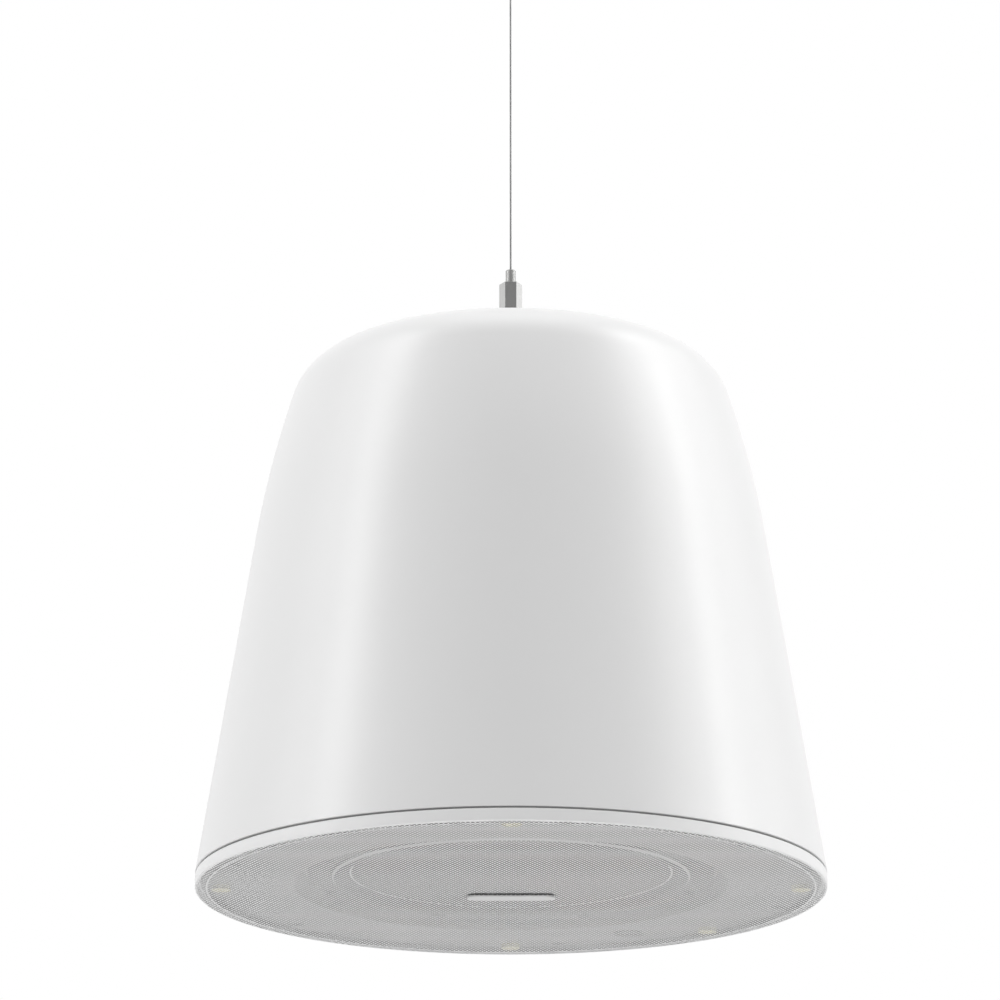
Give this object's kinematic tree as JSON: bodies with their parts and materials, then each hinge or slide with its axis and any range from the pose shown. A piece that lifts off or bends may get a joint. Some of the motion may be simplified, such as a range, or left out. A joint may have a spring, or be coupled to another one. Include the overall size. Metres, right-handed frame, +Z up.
{
  "type": "pendant speaker",
  "caption": "Bell-shaped pendant loudspeaker on a thin wire rope, with a flat perforated grille facing down and a hexagonal wire gripper on its crown.",
  "frame": {"origin": "centre of the ceiling base's screw hole, in the ceiling plane", "axes": "+Z up along the wire rope and the bell's axis; -Y is the side that faces the picture's camera; the tap dial lies towards +X +Y"},
  "size_m": [0.32, 0.32, 0.5221],
  "materials": {
    "white_shell": "satin white moulded plastic",
    "white_baffle": "satin white moulded plastic",
    "white_grille": "white powder coat on perforated steel",
    "badge_white": "satin white",
    "black_foam": "closed-cell foam",
    "black_plastic": "moulded black plastic",
    "dial_grey": "moulded grey plastic",
    "yellow_zinc": "yellow passivated zinc on magnets",
    "zinc_screw": "zinc plated",
    "frame_metal": "black paint on cast alloy",
    "gasket_grey": "pale rubber gasket",
    "surround_rubber": "butyl rubber",
    "cone_paper": "pressed paper",
    "coil_copper": "enamelled copper on a former",
    "spider_cloth": "resin-dipped cloth",
    "plated_steel": "zinc plated steel",
    "ferrite": "sintered ferrite",
    "core_steel": "lacquered laminations",
    "coil_tape": "yellow tape on a winding",
    "lining_felt": "polyester wadding",
    "nickel": "nickel plated, fine turned",
    "rope_steel": "bare stranded steel rope",
    "white_nylon": "white nylon"
  },
  "bodies": {
    "root": {"housing_shell": "white_shell", "rim_gasket": "black_foam", "front_baffle": "white_baffle", "baffle_screws": "zinc_screw", "edge_seal": "black_foam", "grille": "white_grille", "grille_magnets": "yellow_zinc", "badge": "badge_white", "badge_clips": "zinc_screw", "tap_switch": "black_plastic", "woofer_frame": "frame_metal", "woofer_gasket": "gasket_grey", "woofer_screws": "zinc_screw", "woofer_surround": "surround_rubber", "woofer_spider": "spider_cloth", "magnet_front_plate": "plated_steel", "ferrite_magnet": "ferrite", "pole_yoke": "plated_steel", "chassis_plate": "plated_steel", "chassis_screws": "zinc_screw", "transformer_core": "core_steel", "transformer_coil": "coil_tape", "transformer_strap": "plated_steel", "terminal_block": "white_nylon", "damping_lining": "lining_felt", "load_plate": "plated_steel", "hanger_nut": "zinc_screw", "hanger_stud": "zinc_screw", "hanger_collar": "nickel", "gripper_body": "nickel", "gripper_spring": "zinc_screw", "wire_rope": "rope_steel", "rope_stop": "nickel", "ceiling_cap": "nickel", "ceiling_base": "nickel", "gland_body": "white_nylon", "gland_cap": "white_nylon", "gland_seal": "black_foam", "gland_locknut": "white_nylon"},
    "cone": {"woofer_cone": "cone_paper", "dust_cap": "cone_paper", "voice_coil": "coil_copper"},
    "dial": {"tap_dial": "dial_grey"},
    "plunger": {"gripper_plunger": "nickel", "gripper_balls": "nickel"}
  },
  "joints": [
    {"name": "cone_travel", "type": "slide", "parent": "root", "child": "cone", "axis": [0, 0, 1], "range_m": [-0.0035, 0.0035], "stiffness_N_per_m": 2000, "deforming": ["woofer_surround", "woofer_spider"]},
    {"name": "dial_turn", "type": "hinge", "parent": "root", "child": "dial", "pos_m": [0.06261, 0.11726, -0.51375], "axis": [0, 0, -1], "range_deg": [0, 150]},
    {"name": "plunger_push", "type": "slide", "parent": "root", "child": "plunger", "axis": [0, 0, 1], "range_m": [-0.002, 0], "stiffness_N_per_m": 600, "springref_m": 0.0015, "deforming": ["gripper_spring"]}
  ]
}
